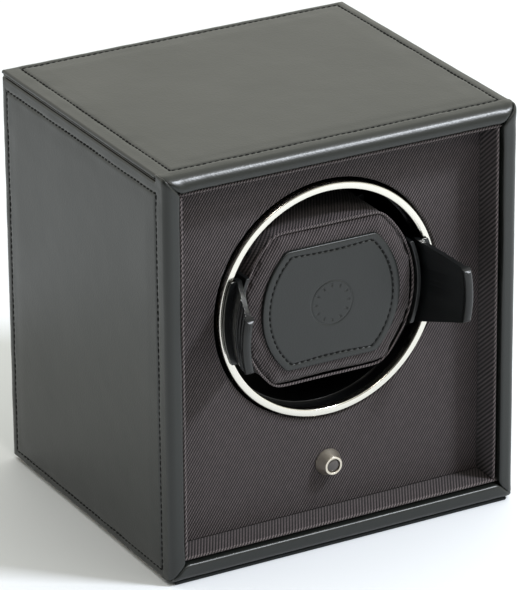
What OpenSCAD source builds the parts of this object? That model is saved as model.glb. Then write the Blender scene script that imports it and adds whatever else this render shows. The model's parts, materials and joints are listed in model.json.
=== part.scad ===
// Watch winder box: a leather-covered case with a fabric-lined recess, a motor-driven drum with a
// bright trim ring, and a padded watch cuff with two squeeze levers that slides out of the drum.
// The origin is the centre of the base, +Z is up and the open front faces -Y.

/* [Case] */
// Outside width of the case
case_w = 146; // [146:1:160]
// Depth of the case, from the front rim to the back panel
case_d = 127.5; // [127:0.5:140]
// Height of the case, with its base pad
case_h = 159; // [156:1:175]
// Thickness of the pad under the case
base_t = 1.4; // [1.2:0.1:1.8]
// Thickness of the padded leather skin
skin_t = 1.3; // [1:0.1:1.5]
// Thickness of the side, top and bottom boards
board_t = 4.8; // [4:0.1:4.8]
// Depth of the mitred rails around the front opening
rim_d = 8; // [6:0.5:10]
// Radius of the outer front edge of the top rail
rim_round = 4.8; // [3:0.1:5.4]

/* [Recess] */
// Depth from the front rim to the lined baffle
recess_d = 13.3; // [13:0.1:14]
// Thickness of the fabric-covered lining cards
liner_t = 2; // [1.6:0.1:2.2]
// Thickness of the baffle board
baffle_t = 3; // [2:0.1:3.5]

/* [Drum] */
// Height of the drum axis above the base
drum_z = 93.4; // [92:0.1:96]
// Outer radius of the trim ring
ring_r = 45.6; // [45.2:0.1:46]
// Inner radius of the trim ring
ring_in = 42.7; // [42.6:0.1:43]
// Radial gap between the trim ring and the hole in the baffle
ring_gap = 1.2; // [0.8:0.1:1.6]
// Inner radius of the drum cup
cup_in = 42.4; // [42.3:0.1:42.5]
// Radius of the steel drum shaft
shaft_r = 3; // [2.5:0.5:3.5]

/* [Cuff] */
// Height of the padded cuff
cuff_h = 61.6; // [58:0.2:62]
// Half width of the padded cuff at the middle of its curved sides
cuff_half_w = 36.6; // [36:0.1:36.6]
// Height of the leather patch
patch_h = 47; // [44:0.5:48]
// Half height of the squeeze levers where they leave the drum
lever_half_h = 16.2; // [15:0.1:16.6]
// Half height of the squeeze levers at their tips
lever_tip_half_h = 10.9; // [10:0.1:12]
// How far the levers reach in front of the trim ring
lever_reach = 23; // [20:0.2:24]

/* [Drive] */
// Teeth on the drum gear
gear_teeth = 60; // [60:12:60]
// Teeth on the motor pinion
pinion_teeth = 12; // [12:1:12]
// Distance between the two gear axes
gear_centres = 36.2; // [36.1:0.05:36.3]
// Free space taken off each side of a tooth
tooth_slack = 0.09; // [0.06:0.01:0.12]

/* [Button and power] */
// Height of the push button above the base
button_z = 28; // [25:0.1:30]
// Radius of a battery cell
cell_r = 17.1; // [16.8:0.1:17.1]
// Length of a battery cell without its nub
cell_l = 60; // [59:0.1:60]
// Width of the battery door's opening, from the middle to one side
door_half_w = 64.4; // [64.2:0.1:64.4]

/* [Hidden] */
$fn = 96;
EPS = 0.01;

// Colours
leather = "#4b504e";
fabric = "#4a4446";
card = "#b08d5f";
black_plastic = "#1b1c1d";
grey_plastic = "#5a5c5e";
steel = "#b9bbbd";
bright = "#e8e8e6";
brass = "#c2a252";
white_plastic = "#e6e4da";

// Case planes
front_y = -case_d / 2;
back_y = case_d / 2;
rim_w = skin_t + board_t;
out_x = case_w / 2;
in_x = out_x - rim_w;
in_top = case_h - rim_w;
in_bottom = base_t + rim_w;
skin_x = out_x - skin_t;
skin_top = case_h - skin_t;
board_front = front_y + rim_d;
rear_t = 4;
rear_front = back_y - skin_t - rear_t;
baffle_y = front_y + recess_d;
baffle_back = baffle_y + baffle_t;
side_round = 3;

// Drum and drive planes, along Y
ring_front = front_y + 11.75;
ring_back = ring_front + 3.5;
collar_back = ring_back + 4.5;
collar_in = 43.2;
cup_wall_r = 44.3;
cup_floor = -6;
cup_back = -3.5;
gear_back = cup_back + 6;
plate_front = 4.5;
plate_t = 3;
plate_back = plate_front + plate_t;
boss_back = plate_back + 8;
running = 0.05;
head_t = 1;
groove_r = shaft_r - 0.5;
clip_t = 0.8;
post_r = 3;
post_x = 27;
post_front = -15.5;

// Chassis plate
plate_half_w = 59;
plate_low = drum_z - 54;
plate_high = drum_z + 54;
standoff_x = 54;
standoff_dz = 48;
standoff_r = 4.5;
screw_r = 1.5;
screw_hole_r = 1.6;

// Motor
motor_angle = -45;
motor_x = gear_centres * cos(motor_angle);
motor_z = drum_z + gear_centres * sin(motor_angle);
gearbox_r = 12.5;
motor_shaft_r = 2;
motor_screw_dx = 8.5;
magnet_r = 3;
magnet_dz = 20.5;

// Cuff and levers
cuff_edge_y = ring_front - 0.9;
cuff_back_y = -19;
core_back_y = -12;
side_centre = 3.6;
side_r = cuff_half_w + side_centre;
patch_t = 1.2;
patch_side_r = 32.4;
core_half_w = 30;
core_half_h = 23;
core_front_y = cuff_edge_y + 7;
core_plate_x = 33.8;
cheek_in_r = side_r + 0.1;
cheek_out_r = side_r + 1.7;
cheek_half_h = 16.3;
cheek_front_y = ring_front - 1.2;
lever_in = 40.1;
lever_out = 41.9;
lever_tip_y = ring_front - lever_reach;
lever_flare = 5.3;
lip_r = 1.7;
nib_r = 42.3;
flange_r = 44.2;
flange_y = [ring_front - 1.2, ring_front - 0.35];
pivot_x = 37.6;
pivot_y = -14.5;
knuckle_r = 3;
knuckle_h = 7;
spring_gap = 3;
pin_r = 1.5;

// Button
bezel_back = baffle_y + 8.7;
cap_r = 2.6;
barrel_r = 3.9;
stem_r = 1.2;

// Battery bay and door
cell_y = 40.2;
cell_z = 28.2;
tray_half_w = 65;
tray_front = 20;
tray_top = 51.5;
tray_wall = 1.6;
tray_floor = 10.1;
contact_t = 0.5;
cells_left = -60.1;
nub_l = 1.5;
nub_r = 4.75;
opening_low = 9;
opening_high = 50.8;
frame_t = 1.5;
hinge_y = 61.7;
hinge_z = 48.4;
hinge_pin_r = 1;
hinge_barrel_r = 1.8;
door_t = 2.4;

// Power inlet, on the back
jack_x = 52;
jack_z = 68;
jack_r = 5.5;
jack_hole_r = 5.7;
jack_nut_r = 7.4;
jack_recess_r = 7.8;
jack_face = back_y - 0.25;

// Control board
pcb_x = [-53, -13];
pcb_z = [101.5, 144.5];
pcb_y = plate_back + 6;
pcb_t = 1.6;
pcb_post_x = [-45, -17];
pcb_post_z = [105.5, 141];
plug_x = [-47, -38, -29, -20];
plug_z = 113;
plug_back = pcb_y + pcb_t + 5;

// A box given by its lowest and highest corners
module block(low, high) { translate(low) cube(high - low); }

// Turns a shape made around Z to lie around Y: its height runs towards the back
module along_y(x, z) { translate([x, 0, z]) rotate([-90, 0, 0]) children(); }

// A round bar around a line along Y
module bar_y(x, z, r, y0, y1) { along_y(x, z) translate([0, 0, y0]) cylinder(h = y1 - y0, r = r); }

// A round bar around a line along X
module bar_x(y, z, r, x0, x1) {
    translate([x0, y, z]) rotate([0, 90, 0]) cylinder(h = x1 - x0, r = r);
}

// Extrudes an outline drawn in X and Z from one Y plane to another
module slab_y(y0, y1) { translate([0, y1, 0]) rotate([90, 0, 0]) linear_extrude(y1 - y0) children(); }

// ---- Carcass boards ----
module carcass_top() {
    color(card) block([-skin_x, board_front, in_top], [skin_x, rear_front, skin_top]);
}

module carcass_bottom() {
    color(card) block([-skin_x, board_front, base_t], [skin_x, rear_front, in_bottom]);
}

module carcass_left() {
    color(card) block([-skin_x, board_front, in_bottom], [-in_x, rear_front, in_top]);
}

module carcass_right() {
    color(card) block([in_x, board_front, in_bottom], [skin_x, rear_front, in_top]);
}

module door_opening(y0, y1) {
    block([-door_half_w, y0, opening_low], [door_half_w, y1, opening_high]);
}

module rear_board() {
    color(card) difference() {
        block([-skin_x, rear_front, base_t], [skin_x, rear_front + rear_t, skin_top]);
        door_opening(rear_front - 1, rear_front + rear_t + 1);
        bar_y(jack_x, jack_z, jack_hole_r, rear_front - 1, rear_front + rear_t + 1);
    }
}

// ---- Leather skins ----
module leather_top() {
    color(leather) block([-out_x, board_front, skin_top], [out_x, back_y, case_h]);
}

module leather_left() {
    color(leather) block([-out_x, board_front, base_t], [-skin_x, back_y, skin_top]);
}

module leather_right() {
    color(leather) block([skin_x, board_front, base_t], [out_x, back_y, skin_top]);
}

module leather_back() {
    color(leather) difference() {
        block([-skin_x, back_y - skin_t, base_t], [skin_x, back_y, skin_top]);
        door_opening(back_y - skin_t - 1, back_y + 1);
        bar_y(jack_x, jack_z, jack_recess_r, back_y - skin_t - 1, back_y + 1);
    }
}

// ---- Front rim: four rails, mitred at the corners ----
// The rail lies along X with its outer side up; u is the depth and v the width of its section
module rail(half_len, round_r) {
    intersection() {
        rotate([90, 0, 90]) translate([0, 0, -half_len]) linear_extrude(2 * half_len) {
            translate([round_r, -rim_w]) square([rim_d - round_r, rim_w]);
            translate([0, -rim_w]) square([rim_d, rim_w - round_r]);
            translate([round_r, -round_r]) circle(round_r);
        }
        slab_y(0, rim_d) polygon([
            [-half_len, 0], [half_len, 0],
            [half_len - rim_w, -rim_w], [-half_len + rim_w, -rim_w]
        ]);
    }
}

rim_mid_z = (base_t + case_h) / 2;
rim_half_h = (case_h - base_t) / 2;

module rim_top() {
    color(leather) translate([0, front_y, case_h]) rail(out_x, rim_round);
}

module rim_bottom() {
    color(leather) translate([0, front_y, base_t]) rotate([0, 180, 0]) rail(out_x, side_round);
}

module rim_left() {
    color(leather) translate([-out_x, front_y, rim_mid_z]) rotate([0, -90, 0])
        rail(rim_half_h, side_round);
}

module rim_right() {
    color(leather) translate([out_x, front_y, rim_mid_z]) rotate([0, 90, 0])
        rail(rim_half_h, side_round);
}

module base_pad() {
    inset = 2.4;
    color("#26282a") block([inset - out_x, front_y + 1.2, 0], [out_x - inset, back_y - inset, base_t]);
}

// ---- Recess lining ----
liner_front = front_y + liner_t;

module liner_top() {
    color(fabric) block([-in_x, liner_front, in_top - liner_t], [in_x, baffle_back, in_top]);
}

module liner_bottom() {
    color(fabric) block([-in_x, liner_front, in_bottom], [in_x, baffle_back, in_bottom + liner_t]);
}

module liner_left() {
    color(fabric) block([-in_x, liner_front, in_bottom + liner_t],
                        [liner_t - in_x, baffle_back, in_top - liner_t]);
}

module liner_right() {
    color(fabric) block([in_x - liner_t, liner_front, in_bottom + liner_t],
                        [in_x, baffle_back, in_top - liner_t]);
}

module baffle_board() {
    color(fabric) difference() {
        block([liner_t - in_x, baffle_y, in_bottom + liner_t],
              [in_x - liner_t, baffle_back, in_top - liner_t]);
        bar_y(0, drum_z, ring_r + ring_gap, baffle_y - 1, baffle_back + 1);
        bar_y(0, button_z, barrel_r + 0.3, baffle_y - 1, baffle_back + 1);
    }
}

// ---- Chassis that carries the drum and the motor ----
module standoff_places() {
    for (x = [-standoff_x, standoff_x], dz = [-standoff_dz, standoff_dz])
        translate([x, 0, drum_z + dz]) children();
}

module chassis_standoffs() {
    color(black_plastic) standoff_places() difference() {
        bar_y(0, 0, standoff_r, baffle_back, plate_front);
        bar_y(0, 0, screw_hole_r, plate_front - 12, plate_front + 1);
    }
}

module chassis_plate() {
    color(grey_plastic) difference() {
        union() {
            block([-plate_half_w, plate_front, plate_low], [plate_half_w, plate_back, plate_high]);
            bar_y(0, drum_z, 10, plate_back - EPS, boss_back);
            for (x = pcb_post_x, z = pcb_post_z) bar_y(x, z, 2.5, plate_back - EPS, pcb_y);
        }
        standoff_places() bar_y(0, 0, screw_hole_r, plate_front - 1, plate_back + 1);
        bar_y(0, drum_z, 6.05, plate_front - 1, boss_back + 1);
        bar_y(motor_x, motor_z, 5, plate_front - 1, plate_back + 1);
        for (s = [-1, 1])
            bar_y(motor_x + s * motor_screw_dx, motor_z, screw_hole_r,
                  plate_front - 1, plate_back + 1);
        block([-3.8, plate_front - 1, drum_z + magnet_dz - 3.8],
              [3.8, plate_back + 1, drum_z + magnet_dz + 3.8]);
    }
}

// A pan-head screw along Y, its head towards the back when s is 1 and towards the front when -1
module pan_screw(x, z, seat_y, length, head_r, s) {
    bar_y(x, z, screw_r, min(seat_y, seat_y - s * length), max(seat_y, seat_y - s * length));
    bar_y(x, z, head_r, min(seat_y, seat_y + s * 1.4), max(seat_y, seat_y + s * 1.4));
}

module chassis_screws() {
    color(steel) standoff_places() pan_screw(0, 0, plate_back, 12, 3, 1);
}

module bearing_bush() {
    color(brass) difference() {
        union() {
            bar_y(0, drum_z, 6, plate_front, boss_back);
            bar_y(0, drum_z, 8, plate_front - 1.2, plate_front);
        }
        bar_y(0, drum_z, shaft_r + running, plate_front - 2, boss_back + 1);
    }
}

// ---- Motor ----
module gearmotor() {
    color(steel) difference() {
        union() {
            bar_y(motor_x, motor_z, gearbox_r, plate_back, plate_back + 17);
            bar_y(motor_x, motor_z, 10, plate_back + 17, plate_back + 36);
            for (s = [-1, 1]) block([motor_x + 4 * s - 1, plate_back + 36 - EPS, motor_z - 0.3],
                                    [motor_x + 4 * s + 1, plate_back + 39, motor_z + 0.3]);
        }
        bar_y(motor_x, motor_z, motor_shaft_r + running, plate_back - 1, plate_back + 13);
        for (s = [-1, 1])
            bar_y(motor_x + s * motor_screw_dx, motor_z, screw_hole_r, plate_back - 1, plate_back + 5);
    }
}

module motor_screws() {
    color(steel) for (s = [-1, 1])
        pan_screw(motor_x + s * motor_screw_dx, motor_z, plate_front, 7, 2.6, -1);
}

module motor_shaft() {
    color(steel) bar_y(motor_x, motor_z, motor_shaft_r, cup_back + 0.7, plate_back + 12);
}

// Involute teeth of module 1: half the angle that a tooth fills at radius r, in degrees
function involute(a) = tan(a) * 180 / PI - a;
function half_tooth(n, r) =
    let (base = n / 2 * cos(20))
    90 / n + involute(20) - involute(acos(base / max(r, base))) - tooth_slack / r * 180 / PI;

function tooth_edge(n, tip, root) =
    [for (k = [0:5]) let (r = root + (tip - root) * k / 5) [r, half_tooth(n, r)]];

function gear_outline(n, tip, root) = [
    for (i = [0:n - 1])
        for (side = [-1, 1], k = [0:5])
            let (e = tooth_edge(n, tip, root)[side < 0 ? k : 5 - k], a = 360 / n * i + side * e[1])
            e[0] * [cos(a), sin(a)]
];

module drum_gear() {
    color(white_plastic) difference() {
        slab_y(cup_back, gear_back) translate([0, drum_z])
            polygon(gear_outline(gear_teeth, gear_teeth / 2 + 0.95, gear_teeth / 2 - 1.25));
        bar_y(0, drum_z, shaft_r + 0.02, cup_back - 1, gear_back + 1);
        bar_y(0, drum_z + magnet_dz, magnet_r + 0.05, gear_back - 3, gear_back + 1);
    }
}

module motor_pinion() {
    color(brass) difference() {
        slab_y(cup_back + 0.7, gear_back - 0.3) translate([motor_x, motor_z]) rotate(15)
            polygon(gear_outline(pinion_teeth, pinion_teeth / 2 + 0.95, pinion_teeth / 2 - 1.25));
        bar_y(motor_x, motor_z, motor_shaft_r + 0.02, cup_back, gear_back);
    }
}

// ---- Drum ----
module drum_cup() {
    color(black_plastic) difference() {
        union() {
            along_y(0, drum_z) rotate_extrude($fn = 128) polygon([
                [collar_in, ring_back], [cup_wall_r, ring_back], [cup_wall_r, cup_back],
                [0, cup_back], [0, cup_floor], [cup_in, cup_floor],
                [cup_in, collar_back], [collar_in, collar_back]
            ]);
            for (x = [-post_x, post_x]) bar_y(x, drum_z, post_r, post_front, cup_floor + EPS);
        }
        bar_y(0, drum_z, shaft_r + 0.02, cup_floor - 1, cup_back + 1);
    }
}

module drum_ring() {
    edge = 0.6;
    color(bright) along_y(0, drum_z) rotate_extrude($fn = 160) {
        translate([ring_in, ring_front + edge]) square([ring_r - ring_in, ring_back - ring_front - edge]);
        translate([ring_in + edge, ring_front]) square([ring_r - ring_in - 2 * edge, edge + EPS]);
        for (r = [ring_in + edge, ring_r - edge]) translate([r, ring_front + edge]) circle(edge);
    }
}

module drum_shaft() {
    color(steel) difference() {
        union() {
            bar_y(0, drum_z, 7, cup_floor - head_t, cup_floor);
            bar_y(0, drum_z, shaft_r, cup_floor, boss_back + 2.5);
        }
        along_y(0, drum_z) translate([0, 0, boss_back + 0.2]) difference() {
            cylinder(h = clip_t, r = shaft_r + 1);
            translate([0, 0, -1]) cylinder(h = clip_t + 2, r = groove_r);
        }
    }
}

module shaft_clip() {
    color(steel) difference() {
        bar_y(0, drum_z, 5.5, boss_back + 0.2, boss_back + 0.2 + clip_t);
        bar_y(0, drum_z, groove_r + 0.02, boss_back, boss_back + 2);
        block([-groove_r + 0.4, boss_back, drum_z - 7], [groove_r - 0.4, boss_back + 2, drum_z]);
    }
}

module drum_magnet() {
    color(steel) bar_y(0, drum_z + magnet_dz, magnet_r, gear_back - 3, gear_back);
}

module drum_sensor() {
    color(black_plastic) block([-3.5, gear_back + 0.9, drum_z + magnet_dz - 3.5],
                               [3.5, plate_back + 2.5, drum_z + magnet_dz + 3.5]);
}

// ---- Watch cuff ----
// Barrel outline: flat top and bottom, and sides that are arcs of radius r
module barrel_outline(r, h) {
    translate([0, drum_z]) intersection() {
        translate([-side_centre, 0]) circle(r);
        translate([side_centre, 0]) circle(r);
        square([2 * r, h], center = true);
    }
}

module cuff_core() {
    color(black_plastic) difference() {
        union() {
            block([-core_half_w, core_front_y, drum_z - core_half_h],
                  [core_half_w, cuff_back_y + EPS, drum_z + core_half_h]);
            block([-core_plate_x, cuff_back_y, drum_z - core_half_h],
                  [core_plate_x, core_back_y, drum_z + core_half_h]);
            for (s = [-1, 1], t = [-1, 1]) {
                lug = drum_z + t * (knuckle_h + 1.9);
                translate([s * pivot_x, pivot_y, lug]) cylinder(h = 3, r = knuckle_r, center = true);
                translate([s * (pivot_x + core_plate_x - 2) / 2, pivot_y, lug])
                    cube([pivot_x - core_plate_x + 2, 2 * knuckle_r - 1.4, 3], center = true);
            }
        }
        for (s = [-1, 1]) {
            translate([s * pivot_x, pivot_y, drum_z - 20]) cylinder(h = 40, r = pin_r + 0.03);
            bar_y(s * post_x, drum_z, post_r + 0.08, post_front - 0.5, core_back_y + 1);
        }
    }
}

module cuff_cushion() {
    color(fabric) difference() {
        slab_y(cuff_edge_y, cuff_back_y) barrel_outline(side_r, cuff_h);
        block([-core_half_w, core_front_y, drum_z - core_half_h],
              [core_half_w, cuff_back_y + 1, drum_z + core_half_h]);
    }
}

module cuff_patch() {
    color(leather) slab_y(cuff_edge_y - patch_t, cuff_edge_y) barrel_outline(patch_side_r, patch_h);
}

// Thin plate that covers one curved side of the cushion
module cuff_cheek(s) {
    slab_y(cheek_front_y, cuff_back_y) intersection() {
        translate([-s * side_centre, drum_z]) difference() {
            circle(cheek_out_r);
            circle(cheek_in_r);
        }
        translate([s * 35, drum_z]) square([20, 2 * cheek_half_h], center = true);
    }
}

module cuff_cheek_left() { color(black_plastic) cuff_cheek(-1); }

module cuff_cheek_right() { color(black_plastic) cuff_cheek(1); }

module lever_pins() {
    color(steel) for (s = [-1, 1])
        translate([s * pivot_x, pivot_y, drum_z]) cylinder(h = 21, r = pin_r, center = true);
}

// Torsion spring around each pin, as closed turns of wire
module lever_springs() {
    wire = 0.35;
    color(steel) for (s = [-1, 1], k = [-3:3])
        translate([s * pivot_x, pivot_y, drum_z + k * 2 * wire])
            rotate_extrude($fn = 32) translate([pin_r + wire + 0.1, 0]) circle(wire, $fn = 16);
}

// Side view of a lever, Y along the first axis and height above the drum axis along the second
lever_edge = [
    [pivot_y + 1, knuckle_h], [collar_back + 5, knuckle_h],
    [ring_back + 1, lever_half_h - 1.5], [ring_back - 1.5, lever_half_h],
    [ring_front - 1, lever_half_h], [lever_tip_y + 2.4, lever_tip_half_h],
    [lever_tip_y + 0.7, lever_tip_half_h - 0.7], [lever_tip_y - 1, lever_tip_half_h - 2.6]
];
lever_side = concat(lever_edge,
                    [for (k = [len(lever_edge) - 1:-1:0]) [lever_edge[k].x, -lever_edge[k].y]]);

// Section of a lever, turned around the drum axis: a straight wall with a latch nib, a flange in
// front of the trim ring, and a flared end with finger ribs and a rounded lip
module lever_section() {
    flare_y = ring_front - 1;
    end_y = lever_tip_y + lip_r;
    wall = lever_out - lever_in;
    polygon([
        [lever_in, pivot_y + 1], [lever_out, pivot_y + 1],
        [lever_out, collar_back - 0.5], [nib_r, collar_back - 1.5],
        [nib_r, collar_back - 2.5], [lever_out, collar_back - 3.5],
        [lever_out, flare_y], [lever_out + lever_flare, end_y],
        [lever_in + lever_flare, end_y], [lever_in, flare_y]
    ]);
    translate([lever_in + 0.4, flange_y[0]])
        square([flange_r - lever_in - 0.4, flange_y[1] - flange_y[0]]);
    translate([lever_out + lever_flare - wall / 2, end_y]) circle(lip_r, $fn = 32);
    for (k = [1:3]) {
        t = 1 - k * 0.17;
        translate([lever_out + lever_flare * t - 0.1, flare_y + (end_y - flare_y) * t])
            circle(0.55, $fn = 20);
    }
}

// Squeeze lever on the right side, with two knuckles on its pivot pin
module lever() {
    difference() {
        union() {
            intersection() {
                along_y(0, drum_z) rotate_extrude($fn = 160) lever_section();
                rotate([90, 0, 90]) linear_extrude(60) translate([0, drum_z]) polygon(lever_side);
            }
            for (t = [-1, 1]) translate([pivot_x, pivot_y, drum_z + t * (knuckle_h + spring_gap) / 2])
                cylinder(h = knuckle_h - spring_gap, r = knuckle_r, center = true);
        }
        translate([pivot_x, pivot_y, drum_z - knuckle_h - 1])
            cylinder(h = 2 * knuckle_h + 2, r = pin_r + 0.06);
        translate([pivot_x - knuckle_r - 1, pivot_y - knuckle_r - 1, drum_z - spring_gap])
            cube([knuckle_r + 2.6, 2 * knuckle_r + 2, 2 * spring_gap]);
    }
}

module lever_left() { color(black_plastic) mirror([1, 0, 0]) lever(); }

module lever_right() { color(black_plastic) lever(); }

// ---- Push button ----
module button_bezel() {
    color(steel) difference() {
        union() {
            along_y(0, button_z) rotate_extrude() polygon([
                [0, baffle_y], [5.2, baffle_y], [5.2, baffle_y - 0.5],
                [3.6, baffle_y - 4.6], [3.4, baffle_y - 4.8], [0, baffle_y - 4.8]
            ]);
            bar_y(0, button_z, barrel_r, baffle_y - EPS, bezel_back);
        }
        bar_y(0, button_z, cap_r + 0.06, baffle_y - 6, bezel_back + 1);
    }
}

module button_nut() {
    color(steel) difference() {
        along_y(0, button_z) translate([0, 0, baffle_back]) cylinder(h = 2.8, r = 6.6, $fn = 6);
        bar_y(0, button_z, barrel_r + 0.1, baffle_back - 1, baffle_back + 4);
    }
}

module button_cap() {
    dome_r = 6;
    face_y = baffle_y - 4.1;
    color("#2a2320") {
        intersection() {
            bar_y(0, button_z, cap_r, baffle_y - 6, bezel_back - 2);
            along_y(0, button_z) translate([0, 0, face_y + dome_r - 0.6]) sphere(dome_r);
        }
        bar_y(0, button_z, cap_r, face_y + 1, bezel_back - 2);
        bar_y(0, button_z, stem_r, bezel_back - 2 - EPS, bezel_back + 3);
    }
}

module switch_body() {
    half = 5;
    color(black_plastic) difference() {
        block([-half, bezel_back, button_z - half], [half, bezel_back + 9, button_z + half]);
        bar_y(0, button_z, stem_r + 0.08, bezel_back - 1, bezel_back + 6);
    }
}

// ---- Battery bay ----
module battery_tray() {
    color(black_plastic) difference() {
        block([-tray_half_w, tray_front, in_bottom], [tray_half_w, rear_front, tray_top]);
        block([tray_wall - tray_half_w, tray_front + tray_wall, tray_floor],
              [tray_half_w - tray_wall, rear_front + 1, tray_top - tray_wall]);
    }
}

module battery_cell(x0) {
    bar_x(cell_y, cell_z, cell_r, x0, x0 + cell_l);
    bar_x(cell_y, cell_z, nub_r, x0 + cell_l - EPS, x0 + cell_l + nub_l);
}

module battery_left() { color(bright) battery_cell(cells_left); }

module battery_right() { color(bright) battery_cell(cells_left + cell_l + nub_l); }

module battery_contacts() {
    inner = tray_half_w - tray_wall;
    wire = 0.45;
    color(steel) {
        for (x = [-inner, inner - contact_t])
            block([x, cell_y - 7, cell_z - 7], [x + contact_t, cell_y + 7, cell_z + 7]);
        for (k = [0:2])
            translate([contact_t - inner + wire * (1 + 1.9 * k), cell_y, cell_z]) rotate([0, 90, 0])
                rotate_extrude($fn = 48) translate([6 - 1.1 * k, 0]) circle(wire, $fn = 16);
    }
}

module door_frame() {
    rear = back_y - 0.35;
    side = door_half_w - frame_t;
    color(black_plastic) difference() {
        door_opening(rear_front, rear);
        block([-side, rear_front - 1, opening_low + frame_t], [side, rear + 1, opening_high + 1]);
        bar_x(hinge_y, hinge_z, hinge_pin_r + 0.02, -door_half_w - 1, door_half_w + 1);
    }
}

module door_hinge_pin() {
    color(steel) bar_x(hinge_y, hinge_z, hinge_pin_r, 0.1 - door_half_w, door_half_w - 0.1);
}

module battery_door() {
    half = door_half_w - frame_t - 0.5;
    low = opening_low + frame_t + 0.4;
    color(black_plastic) difference() {
        union() {
            block([-half, hinge_y - 0.8, low], [half, hinge_y - 0.8 + door_t, hinge_z - 0.6]);
            for (x = [[-half, -25], [-12, 12], [25, half]])
                bar_x(hinge_y, hinge_z, hinge_barrel_r, x[0], x[1]);
        }
        bar_x(hinge_y, hinge_z, hinge_pin_r + 0.08, -half - 1, half + 1);
        bar_y(0, low - 3, 7, hinge_y - 3, hinge_y + 3);
    }
}

// ---- Power inlet ----
module dc_jack() {
    socket_r = 2.85;
    color(black_plastic) difference() {
        union() {
            bar_y(jack_x, jack_z, jack_r, rear_front - 9, jack_face);
            bar_y(jack_x, jack_z, jack_nut_r, rear_front - 1.8, rear_front);
        }
        bar_y(jack_x, jack_z, socket_r, jack_face - 9.5, jack_face + 1);
    }
}

module dc_jack_pin() {
    color(brass) bar_y(jack_x, jack_z, 1.05, jack_face - 9.5, jack_face - 1);
}

module dc_jack_nut() {
    color(steel) difference() {
        along_y(jack_x, jack_z) translate([0, 0, back_y - skin_t])
            cylinder(h = 1.1, r = jack_nut_r, $fn = 6);
        bar_y(jack_x, jack_z, jack_r + 0.1, back_y - 3, back_y + 1);
    }
}

// ---- Control board ----
module control_board() {
    color("#1f5a3c") block([pcb_x[0], pcb_y, pcb_z[0]], [pcb_x[1], pcb_y + pcb_t, pcb_z[1]]);
}

module board_components() {
    face = pcb_y + pcb_t;
    color(black_plastic) {
        for (x = plug_x) block([x - 3.2, face, plug_z - 3], [x + 3.2, plug_back, plug_z + 3]);
        block([-48, face, 122], [-38, face + 1.8, 130]);
        block([-48, face, 134], [-43, face + 1.5, 139]);
        bar_y(-29, 134, 4, face, face + 11);
        bar_y(-20, 134, 3, face, face + 7);
        block([-34, face, 122], [-20, face + 1.2, 126]);
    }
}

// ---- Wire leads: round tubes along routes given by their points ----
lead_r = 0.8;
lead_sides = 10;
switch_back = bezel_back + 9;
lead_routes = [
    [[motor_x, plate_back + 39, motor_z], [motor_x, 50, 76], [20, 50, 100], [-12, 36, plug_z],
     [plug_x[3], 27, plug_z], [plug_x[3], plug_back, plug_z]],
    [[jack_x, rear_front - 9, jack_z], [jack_x, 44, jack_z], [44, 40, 100], [10, 40, 120],
     [-22, 32, plug_z + 4], [plug_x[2], 26, plug_z], [plug_x[2], plug_back, plug_z]],
    [[-58, 34, tray_top + 0.2], [-58, 34, 96], [-44, 30, plug_z], [plug_x[1], 26, plug_z],
     [plug_x[1], plug_back, plug_z]],
    [[0, switch_back, button_z], [0, switch_back + 5, button_z], [-42, -4, 30], [-57, 14, 37],
     [-57, 15, 60], [-56, 22, 100], [plug_x[0], 26, plug_z], [plug_x[0], plug_back, plug_z]]
];

function unit(v) = v / norm(v);

// Direction of a route at one of its points, halfway between the runs that meet there
function run_after(route, k) = k < len(route) - 1 ? unit(route[k + 1] - route[k]) : [0, 0, 0];
function run_before(route, k) = k > 0 ? unit(route[k] - route[k - 1]) : [0, 0, 0];
function heading(route, k) = unit(run_after(route, k) + run_before(route, k));

// A sideways direction at each point, carried along the route so that the tube doesn't twist
function sideways(route, k, u) = k == len(route) ? [] :
    let (d = heading(route, k), v = unit(u - (u * d) * d)) concat([v], sideways(route, k + 1, v));

module lead(route) {
    n = lead_sides;
    last = len(route) - 1;
    across = sideways(route, 0, [0.6, 0.1, 0.8]);
    rings = [for (k = [0:last], j = [0:n - 1])
        route[k] + lead_r * (cos(360 * j / n) * across[k]
                             + sin(360 * j / n) * cross(heading(route, k), across[k]))];
    walls = [for (k = [0:last - 1], j = [0:n - 1])
        [k * n + j, (k + 1) * n + j, (k + 1) * n + (j + 1) % n, k * n + (j + 1) % n]];
    first_cap = [for (j = [0:n - 1]) j];
    last_cap = [for (j = [n - 1:-1:0]) last * n + j];
    polyhedron(rings, concat(walls, [first_cap, last_cap]));
}

module wire_leads() {
    color("#7a1f1f") for (route = lead_routes) lead(route);
}

carcass_top();
carcass_bottom();
carcass_left();
carcass_right();
rear_board();
leather_top();
leather_left();
leather_right();
leather_back();
rim_top();
rim_bottom();
rim_left();
rim_right();
base_pad();
liner_top();
liner_bottom();
liner_left();
liner_right();
baffle_board();
chassis_standoffs();
chassis_plate();
chassis_screws();
bearing_bush();
gearmotor();
motor_screws();
battery_tray();
battery_left();
battery_right();
battery_contacts();
door_frame();
door_hinge_pin();
dc_jack();
dc_jack_pin();
dc_jack_nut();
control_board();
board_components();
drum_sensor();
wire_leads();
button_bezel();
button_nut();
switch_body();
button_cap();
battery_door();
drum_cup();
drum_ring();
drum_shaft();
drum_gear();
shaft_clip();
drum_magnet();
motor_shaft();
motor_pinion();
cuff_core();
cuff_cushion();
cuff_patch();
cuff_cheek_left();
cuff_cheek_right();
lever_pins();
lever_springs();
lever_left();
lever_right();
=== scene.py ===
# %% [markdown]
# # A watch winder box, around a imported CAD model
# The CAD model holds every size, joint and hidden part. This script gives the visible pieces their
# looks: padded leather, twill cloth, stitches, moulded plastic and bright metal.
# Everything is in metres, in the model's own frame: +Z is up and the open front faces -Y.

# %% Load the frame
import json
import math
import bmesh
import bpy
from mathutils import Matrix, Vector, noise


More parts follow.
